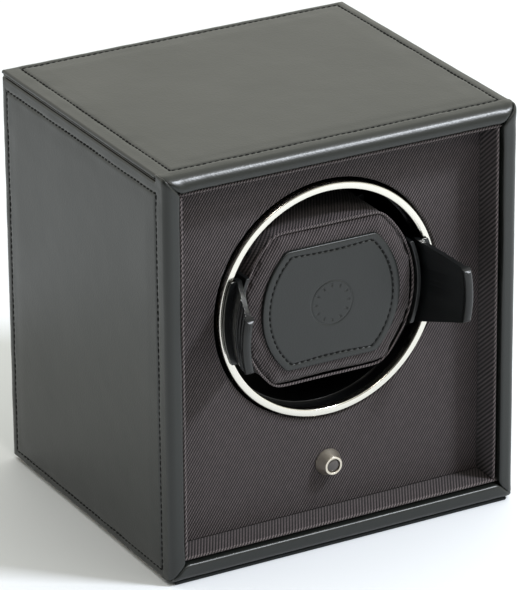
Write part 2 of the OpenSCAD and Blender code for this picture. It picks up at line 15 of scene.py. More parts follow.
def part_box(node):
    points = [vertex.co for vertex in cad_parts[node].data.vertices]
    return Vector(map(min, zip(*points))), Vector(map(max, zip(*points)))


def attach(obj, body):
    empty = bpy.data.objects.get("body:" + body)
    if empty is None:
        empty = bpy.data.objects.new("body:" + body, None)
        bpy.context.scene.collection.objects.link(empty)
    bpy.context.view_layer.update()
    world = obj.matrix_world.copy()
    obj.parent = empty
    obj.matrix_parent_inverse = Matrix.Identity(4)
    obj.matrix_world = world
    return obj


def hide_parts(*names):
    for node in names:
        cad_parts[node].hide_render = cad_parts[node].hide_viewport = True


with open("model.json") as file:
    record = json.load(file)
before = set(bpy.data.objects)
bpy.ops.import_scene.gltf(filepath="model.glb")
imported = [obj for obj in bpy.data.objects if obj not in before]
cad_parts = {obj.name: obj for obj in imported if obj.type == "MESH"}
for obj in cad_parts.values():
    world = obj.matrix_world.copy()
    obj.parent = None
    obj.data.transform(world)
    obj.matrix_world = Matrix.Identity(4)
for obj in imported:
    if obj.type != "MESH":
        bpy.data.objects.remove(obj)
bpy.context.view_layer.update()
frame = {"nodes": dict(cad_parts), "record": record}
nodes = frame["nodes"]
MM = 0.001
QUARTER = math.pi / 2

# %% [markdown]
# ## The camera
# A long lens far away keeps the box's edges nearly parallel, as a catalogue picture does. The camera
# is placed by its direction from the object, its distance, and a point that it looks at.

# %% Camera
AZIMUTH, ELEVATION, ROLL = (math.radians(a) for a in (-29.138, 23.568, -0.456))
DISTANCE = 1.8117
AIM_UP = 0.06955
LENS_MM, SENSOR_MM = 291.2, 36

back = Vector((math.sin(AZIMUTH) * math.cos(ELEVATION), -math.cos(AZIMUTH) * math.cos(ELEVATION),
               math.sin(ELEVATION)))
level = Vector((0, 0, 1)).cross(back).normalized()
turned = Matrix.Rotation(ROLL, 3, back)
right, up = turned @ level, turned @ back.cross(level)
camera = bpy.data.objects.new("camera", bpy.data.cameras.new("camera"))
camera.data.lens, camera.data.sensor_width = LENS_MM, SENSOR_MM
camera.data.clip_end = 20
camera.matrix_world = (Matrix.Translation(back * DISTANCE + up * AIM_UP)
                       @ Matrix((right, up, back)).transposed().to_4x4())
bpy.context.scene.collection.objects.link(camera)
bpy.context.scene.camera = camera
print("camera at", [round(c, 3) for c in camera.location])

# %% [markdown]
# ## The studio
# A pale floor, a pale sky, a soft key lamp at the upper right and a weak one high in front. Dark
# leather shows its form mostly by what it mirrors, so the bright surroundings matter more than the
# lamps. The sky is dimmer at the left front, which keeps the inner wall that faces it dark.

# %% Floor, sky and lamps
def rgb(code):
    """A colour written as an sRGB hex value, in linear light."""
    parts = [int(code[i:i + 2], 16) / 255 for i in (1, 3, 5)]
    return [p / 12.92 if p <= 0.04045 else ((p + 0.055) / 1.055) ** 2.4 for p in parts] + [1]


def add_node(tree, kind, settings, links):
    """Adds a shader node. Settings are its properties or input values, links join its inputs."""
    made = tree.nodes.new(kind)
    for key, value in settings.items():
        if isinstance(key, str) and hasattr(made, key):
            setattr(made, key, value)
        else:
            made.inputs[key].default_value = value
    for key, source in links.items():
        tree.links.new(source, made.inputs[key])
    return made


def new_finish(name, **values):
    """A new material: itself, its node tree, its shader and the object's own coordinates."""
    material = bpy.data.materials.new(name)
    material.use_nodes = True
    tree = material.node_tree
    shader = tree.nodes["Principled BSDF"]
    for key, value in values.items():
        shader.inputs[key.replace("_", " ")].default_value = value
    return material, tree, shader, add_node(tree, "ShaderNodeTexCoord", {}, {}).outputs["Object"]


def lamp(name, place, aim, size, watts, colour):
    """A rectangular area lamp that looks at a point."""
    light = bpy.data.objects.new(name, bpy.data.lights.new(name, "AREA"))
    light.data.shape, light.data.size, light.data.size_y = "RECTANGLE", *size
    light.data.energy, light.data.color = watts, rgb(colour)[:3]
    light.location = place
    light.rotation_euler = (Vector(aim) - Vector(place)).to_track_quat("-Z", "Y").to_euler()
    bpy.context.scene.collection.objects.link(light)


bpy.context.scene.view_settings.view_transform = "Standard"
DIM_SIDE = Vector((-0.65, -0.75, 0.1))
SKY_LEVEL, DIM_LEVEL = 1.18, 0.12
sky = bpy.data.worlds.new("sky")
sky.use_nodes = True
around = add_node(sky.node_tree, "ShaderNodeTexCoord", {}, {}).outputs["Generated"]
side = add_node(sky.node_tree, "ShaderNodeVectorMath", {"operation": "DOT_PRODUCT", 1: DIM_SIDE},
                {0: around})
level_of_light = add_node(sky.node_tree, "ShaderNodeMapRange",
                          {"interpolation_type": "SMOOTHSTEP", "From Min": 0.0, "From Max": 0.85,
                           "To Min": SKY_LEVEL, "To Max": DIM_LEVEL}, {"Value": side.outputs["Value"]})
glow = sky.node_tree.nodes["Background"]
glow.inputs["Color"].default_value = rgb("#fffff4")
sky.node_tree.links.new(level_of_light.outputs["Result"], glow.inputs["Strength"])
bpy.context.scene.world = sky

floor_finish = new_finish("pale floor", Base_Color=rgb("#e8ebf0"), Roughness=0.7)[0]
floor_bm = bmesh.new()
bmesh.ops.create_grid(floor_bm, x_segments=1, y_segments=1, size=6)
floor_mesh = bpy.data.meshes.new("floor")
floor_bm.to_mesh(floor_mesh)
floor = bpy.data.objects.new("floor", floor_mesh)
floor.data.materials.append(floor_finish)
bpy.context.scene.collection.objects.link(floor)
lamp("key", (0.75, -0.75, 1.25), (0, 0, 0.08), (0.24, 0.18), 21, "#f2f7ff")
lamp("front top", (-0.25, -1.3, 1.25), (0, 0, 0.08), (0.3, 0.3), 4, "#fff8f2")

# %% [markdown]
# ## Leather
# Bonded leather is a thin coat of pigment pressed with a fine grain. It is dark and slightly green,
# with a satin shine. A cellular pattern gives the pressed grain, and slow noise gives the faint
# cloudiness of a dyed skin. The real grain is about 0.5 mm; 0.8 mm is the finest that shows.

# %% Leather finish
GRAIN = 0.8 * MM


def leather_finish(name, low, high, roughness):
    """Leather between two colours, with a pressed grain, fine creases and a cloudy shine."""
    made, tree, shader, where = new_finish(name, IOR=1.5)
    cloud = add_node(tree, "ShaderNodeTexNoise", {"Scale": 1 / (38 * MM), "Detail": 3}, {"Vector": where})
    tint = add_node(tree, "ShaderNodeMix", {"data_type": "RGBA", 6: rgb(low), 7: rgb(high)},
                    {0: cloud.outputs["Fac"]})
    tree.links.new(tint.outputs[2], shader.inputs["Base Color"])
    shine = add_node(tree, "ShaderNodeMapRange", {"To Min": roughness - 0.05, "To Max": roughness + 0.06},
                     {"Value": cloud.outputs["Fac"]})
    tree.links.new(shine.outputs["Result"], shader.inputs["Roughness"])
    grain = add_node(tree, "ShaderNodeTexVoronoi", {"Scale": 1 / GRAIN}, {"Vector": where})
    crease = add_node(tree, "ShaderNodeTexNoise", {"Scale": 1 / (3.5 * MM), "Detail": 4}, {"Vector": where})
    height = add_node(tree, "ShaderNodeMath", {"operation": "ADD"},
                      {0: grain.outputs["Distance"], 1: crease.outputs["Fac"]})
    bump = add_node(tree, "ShaderNodeBump", {"Strength": 0.35, "Distance": 0.06 * MM},
                    {"Height": height.outputs["Value"]})
    tree.links.new(bump.outputs["Normal"], shader.inputs["Normal"])
    return made


finishes = {"leather": leather_finish("bonded leather", "#141715", "#1a1d1b", 0.34)}
patch_leather = leather_finish("cuff leather", "#121514", "#181b1a", 0.38)
print("grain every", GRAIN / MM, "mm")

# %% [markdown]
# ## Twill
# Twill cloth has raised diagonal ribs. A sine wave across the ribs gives their rounded backs, and a
# finer wave along them, shifted from rib to rib, gives the single threads. The ribs lean 56 degrees
# on the front faces and run on round the corners, because the wave is worked out in space. A second,
# paler finish paints the highlight along cloth that rounds a fold or a cord.

# %% Twill finish
RIB = 1.03 * MM
THREAD = 1.1 * MM
LEAN = math.radians(56.3)


def twill_finish(name, low, high):
    """Twill cloth: low is the colour between its ribs and high the colour of their backs."""
    made, tree, shader, where = new_finish(name, IOR=1.35, Roughness=0.82, Sheen_Weight=0.12)
    across = Vector((math.sin(LEAN), -0.47, -math.cos(LEAN))) * (2 * math.pi / RIB)
    along = Vector((math.cos(LEAN), 0.7, math.sin(LEAN))) * (2 * math.pi / THREAD)
    waves = []
    for direction in (across, along + across / 2):
        phase = add_node(tree, "ShaderNodeVectorMath", {"operation": "DOT_PRODUCT", 1: direction}, {0: where})
        waves.append(add_node(tree, "ShaderNodeMath", {"operation": "SINE"}, {0: phase.outputs["Value"]}))
    both = add_node(tree, "ShaderNodeMath", {"operation": "MULTIPLY_ADD", 1: 0.28},
                    {0: waves[1].outputs[0], 2: waves[0].outputs[0]})
    height = add_node(tree, "ShaderNodeMapRange", {"From Min": -0.75, "From Max": 1.28},
                      {"Value": both.outputs[0]})
    slub = add_node(tree, "ShaderNodeTexNoise", {"Scale": 1 / (2.5 * MM), "Detail": 2}, {"Vector": where})
    weight = add_node(tree, "ShaderNodeMapRange", {"To Min": 0.65, "To Max": 1.25},
                      {"Value": slub.outputs["Fac"]})
    shade = add_node(tree, "ShaderNodeMath", {"operation": "MULTIPLY", "use_clamp": True},
                     {0: height.outputs["Result"], 1: weight.outputs["Result"]})
    tint = add_node(tree, "ShaderNodeMix", {"data_type": "RGBA", 6: rgb(low), 7: rgb(high)},
                    {0: shade.outputs[0]})
    tree.links.new(tint.outputs[2], shader.inputs["Base Color"])
    bump = add_node(tree, "ShaderNodeBump", {"Strength": 0.7, "Distance": 0.2 * MM},
                    {"Height": height.outputs["Result"]})
    tree.links.new(bump.outputs["Normal"], shader.inputs["Normal"])
    return made


finishes["twill"] = twill_finish("diagonal twill", "#090808", "#605759")
# a paler twill: a painted highlight where the cloth rounds a fold or a cord
painted_highlight_twill = twill_finish("twill with a painted fold highlight", "#1f1c1d", "#776d6e")
print("ribs every", round(RIB / MM, 2), "mm")

# %% [markdown]
# ## Moulded plastics
# A moulded plastic takes its surface from the tool: fine spark-eroded texture on the levers, and a
# smoother one inside the drum. Fine noise in the bump and the roughness gives both.

# %% Plastic finishes
def plastic_finish(name, colour, roughness, texture):
    """Moulded plastic, with a tool texture of the given grain size."""
    made, tree, shader, where = new_finish(name, Base_Color=rgb(colour), IOR=1.49)
    grit = add_node(tree, "ShaderNodeTexNoise", {"Scale": 1 / texture, "Detail": 2}, {"Vector": where})
    shine = add_node(tree, "ShaderNodeMapRange", {"To Min": roughness - 0.06, "To Max": roughness + 0.06},
                     {"Value": grit.outputs["Fac"]})
    tree.links.new(shine.outputs["Result"], shader.inputs["Roughness"])
    bump = add_node(tree, "ShaderNodeBump", {"Strength": 0.2, "Distance": 0.03 * MM},
                    {"Height": grit.outputs["Fac"]})
    tree.links.new(bump.outputs["Normal"], shader.inputs["Normal"])
    return made


finishes["black_plastic"] = plastic_finish("moulded black ABS", "#0e1011", 0.36, 0.5 * MM)
finishes["gloss_black_plastic"] = plastic_finish("polished black ABS", "#08090a", 0.3, 0.8 * MM)
finishes["grey_plastic"] = plastic_finish("moulded grey ABS", "#5a5c5e", 0.5, 0.5 * MM)
finishes["nylon"] = plastic_finish("natural nylon", "#e2dfd2", 0.45, 0.7 * MM)
finishes["wire_pvc"] = plastic_finish("wire insulation", "#7a1f1f", 0.4, 1.5 * MM)
finishes["button_plastic"] = plastic_finish("polished lens", "#4a4644", 0.12, 2 * MM)

# %% [markdown]
# ## Metals
# Turned and plated parts carry fine rings from the lathe, drawn wire and sheet carry faint
# streaks. Both are stretched noise, long one way and short the other, in the roughness and bump.

# %% Metal finishes
def metal_finish(name, colour, roughness, streak):
    """Bare or plated metal; streak is the grain size along X, Y and Z."""
    made, tree, shader, where = new_finish(name, Base_Color=rgb(colour), Metallic=1)
    sized = add_node(tree, "ShaderNodeMapping", {"Scale": [1 / s for s in streak]}, {"Vector": where})
    lines = add_node(tree, "ShaderNodeTexNoise", {"Scale": 1, "Detail": 3}, {"Vector": sized.outputs[0]})
    shine = add_node(tree, "ShaderNodeMapRange",
                     {"To Min": max(roughness - 0.08, 0.02), "To Max": roughness + 0.08},
                     {"Value": lines.outputs["Fac"]})
    tree.links.new(shine.outputs["Result"], shader.inputs["Roughness"])
    bump = add_node(tree, "ShaderNodeBump", {"Strength": 0.1, "Distance": 0.01 * MM},
                    {"Height": lines.outputs["Fac"]})
    tree.links.new(bump.outputs["Normal"], shader.inputs["Normal"])
    return made


finishes["chrome"] = metal_finish("polished chrome", "#d8d5cc", 0.16, (4 * MM, 0.5 * MM, 4 * MM))
finishes["nickel"] = metal_finish("satin nickel", "#d8d0c2", 0.36, (3 * MM, 1 * MM, 3 * MM))
finishes["steel"] = metal_finish("turned steel", "#c2c3c5", 0.3, (3 * MM, 0.3 * MM, 3 * MM))
finishes["spring_steel"] = metal_finish("drawn spring steel", "#b0b1b3", 0.35, (0.4 * MM, 4 * MM, 0.4 * MM))
finishes["bronze"] = metal_finish("turned bronze", "#c9a46a", 0.32, (3 * MM, 0.3 * MM, 3 * MM))

# %% [markdown]
# ## Board, felt, cells and circuit board
# Fibreboard shows short pale fibres on its cut faces, felt is a mat of fine dark hair, a cell has a
# printed sleeve with a lighter band, and a circuit board has a green mask over copper tracks.

# %% Other finishes
def mottled_finish(name, low, high, size, roughness, relief):
    """A dull material of two colours mixed by noise of the given size, with some relief."""
    made, tree, shader, where = new_finish(name, Roughness=roughness, IOR=1.3)
    fleck = add_node(tree, "ShaderNodeTexNoise", {"Scale": 1 / size, "Detail": 5}, {"Vector": where})
    tint = add_node(tree, "ShaderNodeMix", {"data_type": "RGBA", 6: rgb(low), 7: rgb(high)},
                    {0: fleck.outputs["Fac"]})
    tree.links.new(tint.outputs[2], shader.inputs["Base Color"])
    bump = add_node(tree, "ShaderNodeBump", {"Strength": 0.5, "Distance": relief},
                    {"Height": fleck.outputs["Fac"]})
    tree.links.new(bump.outputs["Normal"], shader.inputs["Normal"])
    return made


def striped_finish(name, colours, period, axis, share, roughness):
    """Two colours in stripes across one axis; share is how much of a period the first one takes."""
    made, tree, shader, where = new_finish(name, Roughness=roughness)
    along = add_node(tree, "ShaderNodeVectorMath",
                     {"operation": "DOT_PRODUCT", 1: [a / period for a in axis]}, {0: where})
    part = add_node(tree, "ShaderNodeMath", {"operation": "FRACT"}, {0: along.outputs["Value"]})
    side = add_node(tree, "ShaderNodeMath", {"operation": "GREATER_THAN", 1: share}, {0: part.outputs[0]})
    tint = add_node(tree, "ShaderNodeMix", {"data_type": "RGBA", 6: rgb(colours[0]), 7: rgb(colours[1])},
                    {0: side.outputs[0]})
    tree.links.new(tint.outputs[2], shader.inputs["Base Color"])
    return made


finishes["fibreboard"] = mottled_finish("raw fibreboard", "#a98a62", "#c4a67c", 1.5 * MM, 0.85, 0.1 * MM)
finishes["base_felt"] = mottled_finish("short felt", "#17191a", "#2b2e2f", 0.7 * MM, 0.95, 0.3 * MM)
finishes["battery_can"] = striped_finish("printed cell sleeve", ("#3a3f45", "#a9adb2"), 61.5 * MM,
                                         (1, 0, 0), 0.72, 0.35)
finishes["circuit_board"] = striped_finish("green solder mask", ("#1d5636", "#2c6e49"), 2.5 * MM,
                                           (0.6, 0, 0.8), 0.6, 0.4)
thread_finish = mottled_finish("waxed black thread", "#050505", "#101111", 0.6 * MM, 0.75, 0.05 * MM)

for row in frame["record"]["subparts"]:
    mesh = nodes[row["node"]].data
    mesh.materials.clear()
    mesh.materials.append(finishes[row["material_slot"]])
print("finishes:", sorted(finishes))

# %% [markdown]
# ## Shared tools for the new pieces
# A bmesh is shaped with operators and then becomes an object. Edges sharper than 35 degrees stay
# crisp and the rest is shaded smooth. `knife` cuts a mesh with planes, which puts edges exactly
# where a fold or a groove needs them.

# %% Mesh helpers
def finish_piece(bm, name, material, body, stands_for=(), crisp=35):
    """Turns a bmesh into an object that rides on a body and stands for CAD nodes."""
    mesh = bpy.data.meshes.new(name)
    bm.to_mesh(mesh)
    bm.free()
    mesh.shade_smooth()
    mesh.set_sharp_from_angle(angle=math.radians(crisp))
    made = bpy.data.objects.new(name, mesh)
    made.data.materials.append(material)
    bpy.context.scene.collection.objects.link(made)
    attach(made, body)
    if stands_for:
        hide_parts(*stands_for)
    print(name, len(mesh.polygons), "faces")
    return made


def knife(bm, places, normal, clear=False):
    """Cuts the whole mesh by planes at these distances along a normal, or clears what is beyond."""
    for place in places:
        bmesh.ops.bisect_plane(bm, geom=bm.verts[:] + bm.edges[:] + bm.faces[:], dist=1e-7,
                               plane_co=Vector(normal) * place, plane_no=normal, clear_outer=clear)


def soften(bm, edges, radius, segments):
    """Rounds edges, in that many steps."""
    bmesh.ops.bevel(bm, geom=edges, offset=radius, offset_type="OFFSET", segments=segments, profile=0.5,
                    affect="EDGES", clamp_overlap=True, material=-1)


def softened_copy(node, radius):
    """A CAD node's own shape as a new bmesh, with its outer edges sharper than 55 degrees rounded."""
    bm = bmesh.new()
    bm.from_mesh(nodes[node].data)
    bmesh.ops.remove_doubles(bm, verts=bm.verts, dist=0.002 * MM)
    bmesh.ops.dissolve_limit(bm, angle_limit=math.radians(0.5), verts=bm.verts, edges=bm.edges)
    soften(bm, [e for e in bm.edges if e.is_manifold and e.is_convex
                and e.calc_face_angle() > math.radians(55)], radius, 2)
    return bm


def bell(distance, width):
    """A smooth bump of height 1 and the given half width."""
    return math.exp(-(distance / width) ** 2)


def spun(outline, centre, steps, closed=True):
    """Turns an outline of (radius, y) points about a line along Y through centre, an (x, z) place."""
    x, z = centre
    bm = bmesh.new()
    points = [bm.verts.new((x + r, y, z)) for r, y in outline]
    edges = [bm.edges.new(pair) for pair in zip(points, points[1:])]
    if closed:
        edges.append(bm.edges.new((points[-1], points[0])))
    bmesh.ops.spin(bm, geom=points + edges, cent=(x, 0, z), axis=(0, 1, 0), angle=2 * math.pi,
                   steps=steps, use_merge=True)
    bmesh.ops.remove_doubles(bm, verts=bm.verts, dist=0.001 * MM)
    bmesh.ops.recalc_face_normals(bm, faces=bm.faces)
    return bm

# %% [markdown]
# ## Stitches
# A seam is a row of short thread floats, each a little fat in the middle, lying slightly askew in
# its groove. One small ellipsoid of forty faces is repeated along the seam's legs, and slow noise
# shifts and turns each one a little, as a sewing machine does on soft leather.

# %% Stitch rows
PITCH = 2.45 * MM
FLOAT_LENGTH = 1.8 * MM
THREAD_R = 0.4 * MM
SKEW = math.radians(6)
UP = Vector((0, 0, 1))


def stitches_along(bm, leg, normal):
    """Lays stitches evenly along one polyline, on a face with that normal."""
    lengths = [(b - a).length for a, b in zip(leg, leg[1:])]
    count = max(1, round(sum(lengths) / PITCH))
    for k in range(count):
        left, i = sum(lengths) * (k + 0.5) / count, 0
        while left > lengths[i]:
            left -= lengths[i]
            i += 1
        run = (leg[i + 1] - leg[i]).normalized()
        spot = leg[i] + run * left
        stray = noise.noise(spot / (3 * MM))
        turn = Matrix((run, normal.cross(run), normal)).transposed()
        turn = turn @ Matrix.Rotation(SKEW + 0.2 * stray, 3, "Z")
        shape = turn.to_4x4() @ Matrix.Diagonal((FLOAT_LENGTH / 2, THREAD_R, THREAD_R, 1))
        shift = Matrix.Translation(spot + normal.cross(run) * (0.14 * MM * stray))
        bmesh.ops.create_uvsphere(bm, u_segments=8, v_segments=5, radius=1, matrix=shift @ shape)


def stitched_rectangle(bm, seam, level):
    """Four straight legs of stitches on a face that looks up."""
    corners = [Vector((x, y, level)) for x, y in ((seam[0], seam[2]), (seam[1], seam[2]),
                                                  (seam[1], seam[3]), (seam[0], seam[3]))]
    for a, b in zip(corners, corners[1:] + corners[:1]):
        stitches_along(bm, [a, b], UP)

# %% [markdown]
# ## The leather covers
# The case is covered with leather sheets. Each one lies flat over its board, rolls over the front
# edge and tucks into the opening, and its ends are mitred at the front corners. A strip of three
# faces is bent by rounding its two long edges, cut where folds and seams will be, and then each
# point is moved a little along its normal: down into the seams and mitres, up where it is padded.
# A cover is made lying on top of the case and turned about Y to its own side.

# %% Cover measures
rim_low, rim_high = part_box("rim_top")
bottom_low, bottom_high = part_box("rim_bottom")
skin_low, skin_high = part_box("leather_top")
FRONT, BACK = rim_low.y, skin_high.y
RAIL = rim_high.z - rim_low.z
SKIN = skin_high.z - skin_low.z
HALF_W = rim_high.x
MIDDLE = (rim_high.z + bottom_low.z) / 2
HALF_H = (rim_high.z - bottom_low.z) / 2
LIP = 4.5 * MM
CORNER = FRONT + 7.5 * MM
GROOVE, GROOVE_W = 0.24 * MM, 0.45 * MM
FINE = [s * d * MM for d in (0.25, 0.55, 0.95, 1.5) for s in (-1, 1)] + [0]
EDGE = [d * MM for d in (0.06, 0.25, 0.5, 0.9, 1.3)]
EDGE_R = 0.8 * MM
NET = 2.4 * MM
SHEET = 0.75 * MM
print("leather", round(SKIN / MM, 2), "mm over rails", round(RAIL / MM, 2), "mm wide")


# %% A cover's folds and padding
def smooth_step(value, low, high):
    """Rises from 0 to 1 between two values, with no kink at either."""
    t = min(max((value - low) / (high - low), 0), 1)
    return t * t * (3 - 2 * t)


def round_over(gap, radius):
    """How far a rounded edge has dropped at this distance from the edge."""
    reach = radius - min(max(gap, 0), radius)
    return radius - math.sqrt(radius ** 2 - reach ** 2)


def sheet_edge(gap):
    """The drop of a sheet's rounded edge, which ends in a short upright wall."""
    return SKIN if gap < 0.01 * MM else round_over(gap, EDGE_R)


def padded_leather(v, half, out, roll, ends, seam):
    """The move of one point of a flat cover: seams and mitres down, padding and puckers up."""
    x, y, z = v.co
    on_top = z > out - 0.01 * MM
    behind = smooth_step(y, CORNER - 0.6 * MM, CORNER + 0.6 * MM)
    near_front = 1 - smooth_step(y, FRONT + roll, FRONT + roll + 3 * MM)
    mitre = (half - abs(x) - (out - z)) * math.sqrt(0.5)
    lift = near_front * (0.16 * bell(mitre - 1.6 * MM, 1.2 * MM) - 0.42 * bell(mitre, 0.4 * MM)) * MM
    pucker = noise.noise(Vector((x / (5 * MM), y / (7 * MM), z / (7 * MM))))
    lift += (0.04 + 0.1 * near_front * bell(mitre, 9 * MM)) * MM * pucker
    lift += 0.05 * MM * noise.noise(v.co / (21 * MM))
    if seam and on_top:
        inside = min(x - seam[0], seam[1] - x, y - seam[2], seam[3] - y)
        lift += 0.3 * MM * smooth_step(inside, 0.4 * MM, 7 * MM)
        lift += 0.12 * MM * bell(abs(inside) - 1.6 * MM, 0.9 * MM) - GROOVE * bell(inside, GROOVE_W)
        lift += 0.12 * MM * pucker * bell(inside, 4 * MM)
    drop = 0
    if on_top:
        drop = max(sheet_edge(x - ends[0]) * behind, sheet_edge(ends[1] - x) * behind, sheet_edge(BACK - y))
    return v.normal * lift - Vector((0, 0, drop))


# %% [markdown]
# One function makes a cover from its strip, its knife cuts and its padding, and lays the stitches of
# its seam. The sheet has some thickness, so its cut edges show as edges.

# %% One cover
def leather_cover(name, half, out, roll, ends, seam, turn, stands_for, back_y=BACK):
    """half is half its length, out its height above the middle, ends the flat part's two X limits,
    seam its stitched rectangle (low x, high x, front y, back y) or None."""
    bm = bmesh.new()
    line = [(back_y, out), (FRONT, out), (FRONT, out - RAIL), (FRONT + LIP, out - RAIL)]
    points = [bm.verts.new((-half, y, z)) for y, z in line]
    strip = [bm.edges.new(pair) for pair in zip(points, points[1:])]
    grown = bmesh.ops.extrude_edge_only(bm, edges=strip)["geom"]
    bmesh.ops.translate(bm, verts=[g for g in grown if isinstance(g, bmesh.types.BMVert)],
                        vec=(2 * half, 0, 0))
    for fold, radius, count in (((FRONT, out), roll, 10), ((FRONT, out - RAIL), 1.1 * MM, 4)):
        soften(bm, [e for e in bm.edges
                    if all((v.co.yz - Vector(fold)).length < 1e-6 for v in e.verts)], radius, count)
    if max(bm.faces, key=lambda f: f.calc_area()).normal.z < 0:
        bmesh.ops.reverse_faces(bm, faces=bm.faces)
    # cuts at the seam and along the edges, and a coarse net between
    if seam:
        knife(bm, [seam[i] + d for i in (0, 1) for d in FINE], (1, 0, 0))
        knife(bm, [seam[i] + d for i in (2, 3) for d in FINE], (0, 1, 0))
    knife(bm, [ends[0] + d for d in EDGE] + [ends[1] - d for d in EDGE], (1, 0, 0))
    knife(bm, [back_y - d for d in EDGE], (0, 1, 0))
    knife(bm, [k * NET for k in range(-33, 34)], (1, 0, 0))
    knife(bm, [k * NET for k in range(-27, 28)], (0, 1, 0))
    knife(bm, [CORNER - 0.6 * MM, CORNER, CORNER + 0.6 * MM], (0, 1, 0))
    for side in (-1, 1):
        slope = Vector((side, 0, -1)).normalized()
        reach = (half - out) * abs(slope.x)
        knife(bm, [reach - d * MM for d in (0.2, 0.45, 0.8, 1.4)], slope)
        knife(bm, [reach], slope, clear=True)
    # behind the front corner the flat part ends where the sheet is cut off
    knife(bm, ends, (1, 0, 0))
    beyond = [f for f in bm.faces if f.calc_center_median().y > CORNER
              and not ends[0] < f.calc_center_median().x < ends[1]]
    bmesh.ops.delete(bm, geom=beyond, context="FACES")
    bm.normal_update()
    moves = [(v, padded_leather(v, half, out, roll, ends, seam)) for v in bm.verts]
    for v, move in moves:
        v.co += move
    place = Matrix.Translation((0, 0, MIDDLE)) @ Matrix.Rotation(turn, 4, "Y")
    bmesh.ops.transform(bm, matrix=place, verts=bm.verts)
    made = finish_piece(bm, name, finishes["leather"], "box", stands_for)
    wall = made.modifiers.new("thickness", "SOLIDIFY")
    wall.thickness, wall.offset = SHEET, -1
    if seam:
        # the thread lies half sunk in its groove
        bm = bmesh.new()
        stitched_rectangle(bm, seam, out - GROOVE * 0.8)
        bmesh.ops.transform(bm, matrix=place, verts=bm.verts)
        finish_piece(bm, name + "_stitches", thread_finish, "box")

# %% [markdown]
# The top sheet reaches over the tops of the side sheets and its ends turn down over them, so the
# side sheets end a little lower, and the turned-in edge of the lining shows as a thin line in the
# gap. The side seams sit 7 mm from the front and upper edges and 3 to 4 mm from the others, and the
# top seam sits 8 mm from the front. The bottom rail is a strip of its own with no seam.

# %% Top, left, right and bottom covers
GAP = 1.4 * MM
top_seam = (-HALF_W + 6.6 * MM, HALF_W - 4 * MM, FRONT + 8 * MM, BACK - 3 * MM)
leather_cover("top_cover", HALF_W, HALF_H, 4.8 * MM, (-HALF_W, HALF_W), top_seam, 0,
              ["leather_top", "rim_top"])
side_roof = HALF_H - SKIN - GAP
left_seam = (-HALF_H + 2.9 * MM, HALF_H - 7.2 * MM, FRONT + 7 * MM, BACK - 3.7 * MM)
leather_cover("left_cover", HALF_H, HALF_W, 3 * MM, (-HALF_H, side_roof), left_seam, -QUARTER,
              ["leather_left", "rim_left"])
right_seam = (-left_seam[1], -left_seam[0], left_seam[2], left_seam[3])
leather_cover("right_cover", HALF_H, HALF_W, 3 * MM, (-side_roof, HALF_H), right_seam, QUARTER,
              ["leather_right", "rim_right"])
for side, name in ((-1, "left"), (1, "right")):
    bm = bmesh.new()
    bmesh.ops.create_cube(bm, size=1, matrix=Matrix.Translation(
        (side * (HALF_W - 0.75 * MM), (CORNER + BACK) / 2, MIDDLE + side_roof + GAP / 2))
        @ Matrix.Diagonal((1 * MM, BACK - CORNER - 1 * MM, 0.45 * MM, 1)))
    soften(bm, bm.edges[:], 0.18 * MM, 2)
    finish_piece(bm, "turned_edge_" + name, finishes["leather"], "box")
leather_cover("bottom_rail", HALF_W, HALF_H, 2.4 * MM, (-HALF_W, HALF_W), None, 2 * QUARTER,
              ["rim_bottom"], back_y=bottom_high.y)

# %% [markdown]
# ## Sheets, cards and mouldings with softened edges
# Cloth folded over a card rounds its edge to the cloth's own thickness, and a mould leaves a small
# radius on plastic. The CAD shapes are right but razor sharp, so a copy of each has its edges
# rounded. The round edges catch the light and let a dark line show where two pieces meet.

# %% Softened copies
SOFT = [("leather_back", "box", "leather", 0.5), ("base_pad", "box", "base_felt", 0.5),
        ("baffle_board", "box", "twill", 0.7), ("drum_cup", "drum", "gloss_black_plastic", 0.35),
        ("cuff_cheek_left", "cuff", "black_plastic", 0.3),
        ("cuff_cheek_right", "cuff", "black_plastic", 0.3),
        ("lever_left", "lever_left", "black_plastic", 0.22),
        ("lever_right", "lever_right", "black_plastic", 0.22),
        ("battery_door", "battery_door", "black_plastic", 0.5), ("door_frame", "box", "black_plastic", 0.3),
        ("dc_jack_nut", "box", "nickel", 0.25), ("button_bezel", "box", "nickel", 0.2)]
for node, body, slot, radius in SOFT:
    made = finish_piece(softened_copy(node, radius * MM), node + "_soft", finishes[slot], body, [node])
    shading = made.modifiers.new("flat faces shade flat", "WEIGHTED_NORMAL")
    shading.keep_sharp = True

# %% [markdown]
# The four lining cards stand a little clear of the rails, so a black line shows between the leather
# and the folded cloth. The face of each card that looks at the rail is moved in before its edges
# are rounded.

# %% Lining cards
CLEAR = 0.8 * MM
OUTWARD = {"left": (-1, 0, 0), "right": (1, 0, 0), "top": (0, 0, 1), "bottom": (0, 0, -1)}
for name, outward in OUTWARD.items():
    node, outward = "liner_" + name, Vector(outward)
    bm = bmesh.new()
    bm.from_mesh(nodes[node].data)
    bmesh.ops.remove_doubles(bm, verts=bm.verts, dist=0.002 * MM)
    furthest = max(v.co.dot(outward) for v in bm.verts)
    rail_face = [v for v in bm.verts if furthest - v.co.dot(outward) < 0.1 * MM]
    bmesh.ops.translate(bm, verts=rail_face, vec=-outward * CLEAR)
    bmesh.ops.dissolve_limit(bm, angle_limit=0.01, verts=bm.verts, edges=bm.edges)
    soften(bm, [e for e in bm.edges if e.calc_face_angle(0) > 0.7], 0.55 * MM, 3)
    card = finish_piece(bm, node + "_soft", finishes["twill"], "box", [node])
    # the front edge of each card gets the paler twill, a painted highlight along the folded cloth
    card.data.materials.append(painted_highlight_twill)
    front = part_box(node)[0].y
    for face in card.data.polygons:
        face.material_index = int(face.center.y < front + 0.7 * MM)

# %% [markdown]
# The back sheet has a seam of its own. Its stitches are laid on a face that looks up, and the whole
# rectangle is then turned to face the back.

